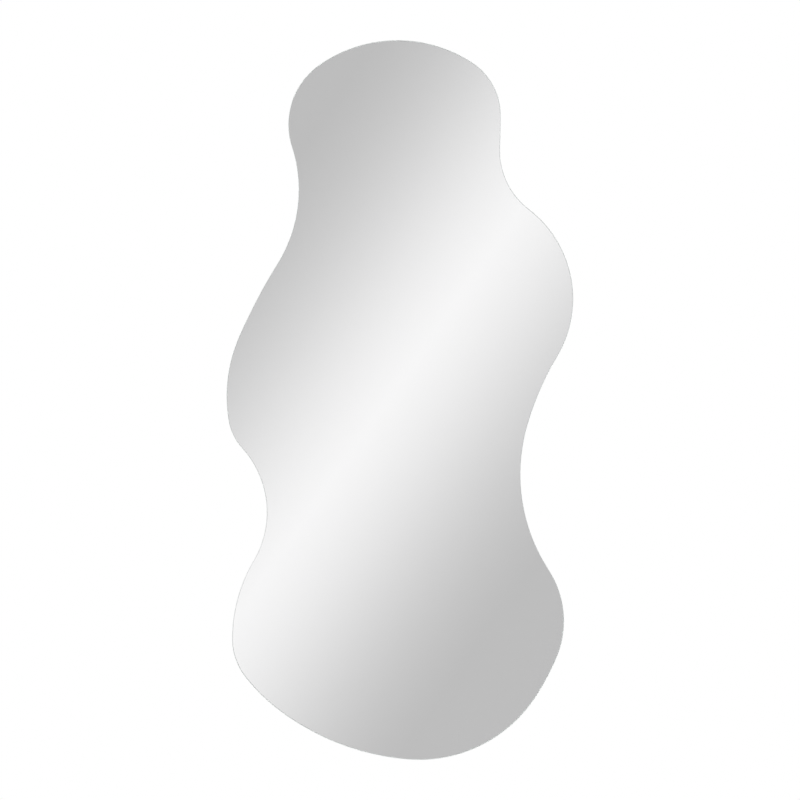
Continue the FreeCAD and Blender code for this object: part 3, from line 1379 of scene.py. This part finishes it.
@dataclass
class Backing:
    """The fibreboard back, and the tapes and adhesive that bond it on.

    Attributes:
        outline: the edge of the silver.
        keyhole: what the board is cut for.
        board_ease: the radius of the board's corner towards the wall.
        tape_skin: the thickness of the adhesive on each side of a tape.
        tape_waist: how far the foam is drawn in between these.
        bead_points: how many points a bead's outline has.
        bead_wander: how far that outline comes and goes.
        bead_waves: the waves that it does so in, each the share, how many go
            round, and how far the wave is shifted from bead to bead.
        bead_bulge: the share of a bead's thickness that each rounded corner takes.
    """

    outline: Outline
    keyhole: KeyholeSizes
    board_ease: float = 1.5 * MM
    tape_skin: float = 0.12 * MM
    tape_waist: float = 0.10 * MM
    bead_points: int = 120
    bead_wander: float = 0.9 * MM
    bead_waves: tuple[Point, ...] = ((0.22, 5.0, 1.0), (0.18, 11.0, 2.1))
    bead_bulge: float = 0.3

    def build(self) -> None:
        """Builds the board and its bond."""
        self.build_board()
        tapes = {node: middle_of(node) for node in nodes_named("foam_tape_")}
        Bench.share(self.model_tape(next(iter(tapes))), tapes, ("foam_tape", "tape_strip"), "foam_tape")
        for number, node in enumerate(nodes_named("adhesive_bead_")):
            self.build_bead(node, number)

    def build_board(self) -> None:
        """The board, with the pockets for the wall screws' heads."""
        low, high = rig.box("backing_board")
        margin = (width_of("silver_coating") - width_of("backing_board")) / 2.0
        board = Bench.slab("fibreboard_back", self.outline.ring(margin), high.y, low.y)
        Bench.ease_rim(board, high.y, self.board_ease, segments=3)
        sizes = self.keyhole
        for x in sizes.plates().values():
            ring = round_ended(sizes.entry_radius + sizes.pocket_clearance, 0.0, sizes.travel, x)
            Bench.cut(board, Bench.slab("pocket", ring, high.y + OVERRUN, high.y - sizes.pocket_depth))
        bite = sizes.screw_length + high.y      # from the heads at y = 0, and high.y is negative
        for x, z in sizes.screws():
            centre = (x, high.y - (bite - OVERRUN) / 2.0, z)
            Bench.cut(board, Bench.rod("screw_hole", sizes.screw_radius, centre, bite + OVERRUN))
        Bench.smooth(board)
        Bench.dress(board, Finishes.board_face, Finishes.board_edge)
        shallow = high.y - sizes.pocket_depth / 2.0
        Bench.paint(board, 1, lambda face: not lies_flat(face) or low.y < face.center.y < shallow)
        Bench.hand_over(board, "backing_board", "board")

    def model_tape(self, node: str) -> Piece:
        """A strip of foam between two thin skins of adhesive, about the origin.

        Args:
            node: a tape of the construction, for its size.

        Returns:
            The finished strip.
        """
        low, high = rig.box(node)
        foam = (high.y - low.y) / 2.0 - self.tape_skin
        Bench.clear()
        bpy.ops.mesh.primitive_cube_add(size=1.0, scale=high - low)
        tape = Bench.name("tape_strip")
        for depth in (-foam, foam):
            Bench.pick(tape, Pick.FACES)
            bpy.ops.mesh.bisect(plane_co=(0.0, depth, 0.0), plane_no=(0.0, 1.0, 0.0))
        Bench.pick(tape, Pick.FACES, lambda face: abs(face.calc_center_median().y) < foam / 2.0)
        bpy.ops.mesh.inset(thickness=self.tape_skin, depth=-self.tape_waist, use_even_offset=True)
        Bench.clear()
        Bench.smooth(tape)
        Bench.dress(tape, Finishes.foam, Finishes.tape_skin)
        Bench.paint(tape, 1, lies_flat)
        return tape

    def build_bead(self, node: str, number: int) -> None:
        """A bead of adhesive, squeezed out unevenly as the board went on.

        Args:
            node: the bead of the construction.
            number: the bead's own, which sets how its outline wanders.
        """
        low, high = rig.box(node)
        radius = (high.x - low.x) / 2.0
        x = (low.x + high.x) / 2.0
        ring = self._spread_evenly(
            round_ended(radius, low.z + radius, high.z - radius, x, self.bead_points)
        )
        along = np.arange(len(ring)) * 2.0 * math.pi / len(ring)
        wave = 0.5
        for share, times, shift in self.bead_waves:
            wave = wave + share * np.sin(times * along + shift * number)
        inward = np.column_stack([x - ring[:, 0], np.zeros(len(ring))]) / radius
        ring = ring + inward * (wave * self.bead_wander)[:, None]
        bead = Bench.slab(node.replace("adhesive_bead", "squeezed_bead"), ring, high.y, low.y)
        for depth in (high.y, low.y):
            Bench.ease_rim(bead, depth, (high.y - low.y) * self.bead_bulge, segments=4)
        Bench.smooth(bead)
        Bench.dress(bead, Finishes.adhesive)
        Bench.hand_over(bead, node, "adhesive")

    @staticmethod
    def _spread_evenly(ring: np.ndarray) -> np.ndarray:
        """Spreads the points of a closed line evenly.

        Args:
            ring: the line's points.

        Returns:
            As many points of the same line.
        """
        closed = np.vstack([ring, ring[:1]])
        reach = np.concatenate([[0.0], np.cumsum(np.linalg.norm(np.diff(closed, axis=0), axis=1))])
        place = np.arange(len(ring)) * reach[-1] / len(ring)
        return np.column_stack([np.interp(place, reach, closed[:, axis]) for axis in (0, 1)])


@dataclass
class Hangers:
    """The two keyhole plates and the screws that hold them.

    Attributes:
        keyhole: what the plates share with the board.
        plate_ease: the radius of a plate's outer corner.
        burr: the width of the small corners that pressing and drilling leave.
        countersink_play: how much wider than the head its seat is.
        head_rim: the height of the head's upright rim.
        head_ease: the radius of the head's corner.
        core_radius: of the shank under the thread.
        point_length: how long the tapered point is.
        tip_radius: of its tip.
        thread_crest: the radius of the thread.
        thread_root: how far the ridge is sunk in the shank.
        thread_half: half the width of the ridge at its foot.
        thread_gap: from the foot of the head to the thread.
        thread_pitch: from turn to turn.
        thread_steps: how many steps a turn of the thread has.
        recess_width: of the bars of the cross.
        recess_span: the length of these bars.
        recess_depth: of the cross.
        recess_taper: the share of the span and of the width that is left at the bottom.
        turns: how far each screw's cross is turned, in radians.
    """

    keyhole: KeyholeSizes
    plate_ease: float = 0.4 * MM
    burr: float = 0.15 * MM
    countersink_play: float = 0.05 * MM
    head_rim: float = 0.2 * MM
    head_ease: float = 0.08 * MM
    core_radius: float = 1.2 * MM
    point_length: float = 2.5 * MM
    tip_radius: float = 0.12 * MM
    thread_crest: float = 1.72 * MM
    thread_root: float = 0.05 * MM
    thread_half: float = 0.3 * MM
    thread_gap: float = 0.4 * MM
    thread_pitch: float = 1.1 * MM
    thread_steps: int = 32
    recess_width: float = 0.95 * MM
    recess_span: float = 3.9 * MM
    recess_depth: float = 1.5 * MM
    recess_taper: tuple[float, float] = (0.3, 0.45)
    turns: tuple[float, ...] = (0.35, 1.1, 0.8, 0.1)

    def build(self) -> None:
        """Builds the plates and their screws."""
        moves = {node: Vector((x, 0.0, 0.0)) for node, x in self.keyhole.plates().items()}
        plate = self.model_plate(next(iter(moves)))
        Bench.share(plate, moves, ("keyhole_plate", "zinc_plate"), "plate_steel")
        screw = self.model_screw()
        for number, (x, z) in enumerate(self.keyhole.screws()):
            move = Matrix.Translation((x, 0.0, z)) @ Matrix.Rotation(self.turns[number], 4, "Y")
            made = Bench.copy(screw, f"plate_screw_{number + 1}", move)
            Bench.hand_over(made, "hanger_screws", "screw_steel")
        bpy.data.objects.remove(screw, do_unlink=True)

    def model_plate(self, node: str) -> Piece:
        """A pressed plate with a keyhole and two countersunk holes, on x = 0.

        Args:
            node: a plate of the construction, for its size.

        Returns:
            The finished plate.
        """
        low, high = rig.box(node)
        sizes = self.keyhole
        radius = (high.x - low.x) / 2.0
        ring = round_ended(radius, low.z + radius, high.z - radius, corners=144)
        plate = Bench.slab("zinc_plate", ring, high.y, low.y)
        Bench.ease_rim(plate, high.y, self.plate_ease, segments=4)
        Bench.ease_rim(plate, low.y, self.burr)
        slot = round_ended(sizes.slot_radius, 0.0, sizes.travel)
        Bench.cut(plate, Bench.slab("slot", slot, high.y + OVERRUN, low.y - OVERRUN))
        middle = (0.0, (low.y + high.y) / 2.0, 0.0)
        through = high.y - low.y + 2.0 * OVERRUN
        Bench.cut(plate, Bench.rod("entry", sizes.entry_radius, middle, through, corners=96))
        for z in sizes.screw_heights():
            Bench.cut(plate, self.countersink(z, through))
        Bench.ease_rim(plate, high.y, self.burr, segments=2)
        Bench.smooth(plate)
        Bench.dress(plate, Finishes.plate_zinc)
        return plate

    def countersink(self, z: float, through: float) -> Piece:
        """The tool that cuts a plate's hole for one screw.

        Args:
            z: of the screw's axis.
            through: the length that passes through the plate.

        Returns:
            The tool.
        """
        sizes = self.keyhole
        play = self.countersink_play
        cone = sizes.screw_head_radius - sizes.screw_radius
        Bench.clear()
        bpy.ops.mesh.primitive_cone_add(
            vertices=64,
            radius1=sizes.screw_radius,
            radius2=sizes.screw_head_radius + play,
            depth=cone + play,
            location=(0.0, (play - cone) / 2.0, z),
            rotation=(-math.pi / 2.0, 0.0, 0.0),
        )
        tool = Bench.name("countersink")
        Bench.pick(tool, Pick.FACES, lambda face: face.normal.y < -FLAT)
        bpy.ops.mesh.extrude_region_move(TRANSFORM_OT_translate={"value": (0.0, -through, 0.0)})
        Bench.clear()
        return tool

    def model_screw(self) -> Piece:
        """A countersunk wood screw on the Y axis, with its head at y = 0.

        Returns:
            The finished screw.
        """
        sizes = self.keyhole
        head = sizes.screw_head_radius - self.head_rim
        Bench.clear()
        bpy.ops.mesh.primitive_circle_add(
            vertices=64, radius=head, fill_type="NGON", rotation=(-math.pi / 2.0, 0.0, 0.0)
        )
        screw = Bench.name("screw")
        cone_end = sizes.screw_head_radius - self.core_radius
        point = sizes.screw_length - self.point_length
        steps = (
            (head, self.head_rim),
            (self.core_radius, cone_end),
            (self.core_radius, point),
            (self.tip_radius, sizes.screw_length),
        )
        self.draw_out(screw, head, steps)
        Bench.face_outwards(screw)
        Bench.ease_rim(screw, 0.0, self.head_ease, segments=2)
        for turn in (0.0, math.pi / 2.0):
            Bench.cut(screw, self.recess_tool(turn))
        thread = self.model_thread(cone_end, point)
        Bench.only(screw)
        thread.select_set(True)
        bpy.ops.object.join()
        Bench.smooth(screw)
        Bench.dress(screw, Finishes.screw_zinc)
        return screw

    @staticmethod
    def draw_out(piece: Piece, radius: float, steps: Iterable[tuple[float, float]]) -> None:
        """Extrudes a round face forwards step by step.

        Args:
            piece: a disc on the Y axis at y = 0.
            radius: the disc's.
            steps: the (radius, depth) of the face after each step.
        """
        Bench.pick(piece, Pick.FACES)
        depth = 0.0
        for wanted, reach in steps:
            bpy.ops.mesh.extrude_region_move(TRANSFORM_OT_translate={"value": (0.0, depth - reach, 0.0)})
            scale = wanted / radius
            bpy.ops.transform.resize(value=(scale, 1.0, scale), center_override=(0.0, -reach, 0.0))
            radius = wanted
            depth = reach
        Bench.clear()

    def recess_tool(self, turn: float) -> Piece:
        """The tool that cuts one bar of the cross in a screw's head.

        Args:
            turn: of the bar about the Y axis, in radians.

        Returns:
            The tool.
        """
        overrun = 0.2 * MM
        depth = self.recess_depth + overrun
        Bench.clear()
        bpy.ops.mesh.primitive_cube_add(
            size=1.0,
            location=(0.0, overrun - depth / 2.0, 0.0),
            scale=(self.recess_span, depth, self.recess_width),
        )
        tool = Bench.name("recess")
        Bench.pick(tool, Pick.FACES, lambda face: face.normal.y < -FLAT)
        span, width = self.recess_taper
        bpy.ops.transform.resize(value=(span, 1.0, width), center_override=(0.0, -self.recess_depth, 0.0))
        Bench.clear()
        tool.data.transform(Matrix.Rotation(turn, 4, "Y"))
        return tool

    def model_thread(self, start: float, end: float) -> Piece:
        """The ridge of a wood screw's thread.

        Args:
            start: the depth at which the shank starts.
            end: the depth at which the thread ends.

        Returns:
            The ridge, wound about the Y axis.
        """
        root = self.core_radius - self.thread_root
        first = start + self.thread_gap
        turns = (end - first) / self.thread_pitch
        steps = round(self.thread_steps * turns)
        Bench.clear()
        bpy.ops.mesh.primitive_circle_add(vertices=3, radius=self.thread_half, fill_type="NOTHING")
        thread = Bench.name("thread")
        profile = ((self.thread_crest, 0.0), (root, self.thread_half), (root, -self.thread_half))
        for corner, (x, y) in zip(thread.data.vertices, profile):
            corner.co = (x, y - first, 0.0)
        Bench.apply(
            thread,
            "SCREW",
            axis="Y",
            angle=2.0 * math.pi * turns,
            screw_offset=-self.thread_pitch * turns,
            steps=steps,
            render_steps=steps,
            use_merge_vertices=False,
        )
        Bench.pick(thread, Pick.EDGES, lambda edge: edge.is_boundary)
        bpy.ops.mesh.fill_holes(sides=3)
        Bench.face_outwards(thread)
        return thread


@dataclass
class WallPads:
    """The soft pads that keep the mirror parallel to the wall.

    Attributes:
        rim: the radius of a pad's edge towards the wall.
    """

    rim: float = 0.5 * MM

    def build(self) -> None:
        """Lays a copy of one pad in every place."""
        pads = {node: middle_of(node) for node in nodes_named("wall_pad_")}
        Bench.share(self.model_pad(next(iter(pads))), pads, ("wall_pad", "rubber_pad"), "pad")

    def model_pad(self, node: str) -> Piece:
        """A moulded pad with a rounded rim, about the origin.

        Args:
            node: a pad of the construction, for its size.

        Returns:
            The finished pad.
        """
        low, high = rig.box(node)
        half = (high.y - low.y) / 2.0
        pad = Bench.rod("rubber_pad", (high.x - low.x) / 2.0, (0.0, 0.0, 0.0), 2.0 * half, corners=96)
        Bench.ease_rim(pad, half, self.rim, segments=4)
        Bench.ease_rim(pad, -half, self.rim / 4.0, segments=2)
        Bench.smooth(pad)
        Bench.dress(pad, Finishes.pad_rubber)
        return pad


# -------------------------------------------------------------- the studio ---
@dataclass(frozen=True)
class SoftLamp:
    """A square soft lamp that looks at the mirror."""

    name: str
    place: Point
    size: float
    watts: float

    def light(self, target: Vector) -> None:
        """Sets the lamp up.

        Args:
            target: the point that it looks at.
        """
        data = bpy.data.lights.new(self.name, "AREA")
        data.shape = "SQUARE"
        data.size = self.size
        data.energy = self.watts
        lamp = bpy.data.objects.new(self.name, data)
        lamp.location = self.place
        lamp.rotation_mode = "QUATERNION"
        lamp.rotation_quaternion = (Vector(self.place) - target).to_track_quat("Z", "Y")
        bpy.context.scene.collection.objects.link(lamp)


@dataclass(frozen=True)
class StudioWorld:
    """White to the camera, soft on matt surfaces, and slanting strips of light in the glass.

    The brightnesses from grey to wrap are as a picture has them, from 0 to 1. y
    and z are those of the direction that is looked in, from -1 to 1.

    Attributes:
        ambient: the light on matt surfaces.
        strip_lean: how far the strips lean from upright, in radians.
        strip_shift: how far the middle strip lies off the camera's axis, as a sine.
        strip_half: half the width of a strip, as a sine.
        strip_every: how far apart the strips lie.
        strip_spread: how much wider they are off the axis.
        off_axis: 1 less the size of y, where the strips start to widen and end to.
        grey: what the glass shows between strips.
        bright: what it shows in the middle of one.
        surround: what it shows between strips off the axis.
        wrap: what its rim gets from the sides and from behind.
        behind: y where that light starts behind the mirror, and is full.
        side: the size of y where it starts at the sides.
        side_rise: how much less y is where it is full.
        reflected: the share of the light that the silvered glass gives back.
        floor_shade: how much dimmer it is straight below.
        below: -z where it starts to be dimmer, and ends to.
    """

    ambient: float = 0.50
    strip_lean: float = math.radians(35.0)
    strip_shift: float = 0.0033
    strip_half: float = 0.0710
    strip_every: float = 0.24
    strip_spread: float = 0.03
    off_axis: tuple[float, float] = (0.02, 0.10)
    grey: float = 189.0 / 255.0
    bright: float = 247.0 / 255.0
    surround: float = 200.0 / 255.0
    wrap: float = 245.0 / 255.0
    behind: tuple[float, float] = (0.1, 0.4)
    side: float = 0.45
    side_rise: float = 0.15
    reflected: float = 0.920
    floor_shade: float = 0.25
    below: tuple[float, float] = (0.18, 0.70)

    def fill(self, graph: Graph) -> None:
        """Builds the nodes of the world.

        Args:
            graph: the tree that is filled.
        """
        is_camera, is_glossy, is_through = (
            graph.node("ShaderNodeLightPath", output=f"Is {kind} Ray")
            for kind in ("Camera", "Glossy", "Transmission")
        )
        mirrored = is_glossy.at_least(is_through)
        seen = mirrored * self.strips(graph) + (1.0 - mirrored) * self.ambient
        level = is_camera + (1.0 - is_camera) * seen
        sky = graph.node("ShaderNodeBackground", {}, {"Color": level, "Strength": 1.0})
        graph.end("ShaderNodeOutputWorld", {"Surface": sky})

    def strips(self, graph: Graph) -> Value:
        """The light in each direction, as glass and metal show it.

        Args:
            graph: the tree that is filled.

        Returns:
            The light's strength.
        """
        direction = graph.node("ShaderNodeTexCoord", output="Generated")
        x, y, z = (direction.along(axis) for axis in "XYZ")
        across = math.cos(self.strip_lean) * x - math.sin(self.strip_lean) * z + self.strip_shift
        nearest = round(across / self.strip_every) * self.strip_every
        aside = (1.0 - abs(y)).rise(*self.off_axis)
        half = self.strip_half + self.strip_spread * aside
        near = (1.0 - abs(across - nearest) / half).at_least(0.0)
        eased = 0.5 * near + 0.25 * (1.0 - (math.pi * near).cosine())
        grey = self.grey + (self.surround - self.grey) * aside
        strips = grey + (self.bright - grey) * eased
        around = y.rise(*self.behind).at_least((self.side - abs(y)).rise(0.0, self.side_rise))
        shown = strips + (self.wrap - strips) * around
        dimmer = self.floor_shade * (-1.0 * z).rise(*self.below)
        return shown.as_light() * (1.0 - dimmer) / self.reflected


@dataclass
class Studio:
    """The floor, the lamps, the world and the camera.

    Attributes:
        world: the light from all round.
        floor: the floor's finish.
        floor_drop: how far the floor lies below the mirror.
        picture_width: of the picture, at the mirror's face.
        picture_depth: how far the camera stands from the face.
        picture_shift: how far the camera stands right of the face's middle, and above it.
        sensor: the width of the camera's sensor, in millimetres.
        lamps: the soft lamps.
    """

    world: StudioWorld = StudioWorld()
    floor: StudioFloor = StudioFloor("pale_floor", (0.84, 0.84, 0.84), 0.8)
    floor_drop: float = 0.64
    picture_width: float = 1.1115
    picture_depth: float = 4.1696
    picture_shift: tuple[float, float] = (0.12 * MM, 0.03 * MM)
    sensor: float = 36.0
    lamps: tuple[SoftLamp, ...] = (
        SoftLamp("key_lamp", (-2.2, -2.6, 2.3), 1.8, 60.0),
        SoftLamp("fill_lamp", (2.6, -1.8, 1.2), 1.8, 30.0),
        SoftLamp("back_lamp", (1.8, 2.6, 1.9), 1.8, 60.0),
        SoftLamp("back_fill_lamp", (-2.4, 2.2, 0.8), 1.8, 30.0),
    )

    def build(self, low: Vector, high: Vector) -> None:
        """Sets the studio up round the object.

        Args:
            low: the object's lowest corner.
            high: its highest corner.
        """
        middle = (low + high) / 2.0
        self.build_floor(low.z - self.floor_drop)
        for lamp in self.lamps:
            lamp.light(middle)
        self.build_world()
        self.build_camera(Vector((middle.x, low.y, middle.z)))
        bpy.context.scene.view_settings.view_transform = "Standard"

    def build_floor(self, level: float) -> None:
        """A round floor.

        Args:
            level: its z.
        """
        Bench.clear()
        bpy.ops.mesh.primitive_circle_add(
            vertices=128, radius=self.floor.radius, fill_type="NGON", location=(0.0, 0.0, level)
        )
        floor = Bench.name("floor")
        Bench.dress(floor, self.floor)
        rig.stage(floor)

    def build_world(self) -> None:
        """Makes the world and fills it."""
        made = bpy.data.worlds.new("studio")
        made.use_nodes = True
        self.world.fill(Graph(made.node_tree))
        bpy.context.scene.world = made

    def build_camera(self, target: Vector) -> None:
        """A camera square to the mirror's face.

        Args:
            target: the middle of the mirror's face.
        """
        data = bpy.data.cameras.new("camera")
        data.sensor_width = self.sensor
        data.lens = self.sensor * self.picture_depth / self.picture_width
        camera = bpy.data.objects.new("camera", data)
        right, up = self.picture_shift
        camera.location = target + Vector((right, -self.picture_depth, up))
        camera.rotation_euler = (math.pi / 2.0, 0.0, 0.0)
        bpy.context.scene.collection.objects.link(camera)
        bpy.context.scene.camera = camera


def main() -> None:
    """Builds the mirror and its studio, and writes down how large it is."""
    logging.basicConfig(level=logging.INFO, format="%(message)s")
    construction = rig.bounds()
    outline = Outline.of_sheet("silver_coating", OUTLINE_POINTS)
    keyhole = KeyholeSizes()
    for assembly in (SilveredGlass(outline), Backing(outline, keyhole), Hangers(keyhole), WallPads()):
        assembly.build()
    Studio().build(*construction)
    boxes = {"cad": construction, "visual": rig.bounds()}
    with open(SIZE_FILE, "w") as handle:
        json.dump({name: [list(corner) for corner in box] for name, box in boxes.items()}, handle)


if __name__ == "__main__":
    main()
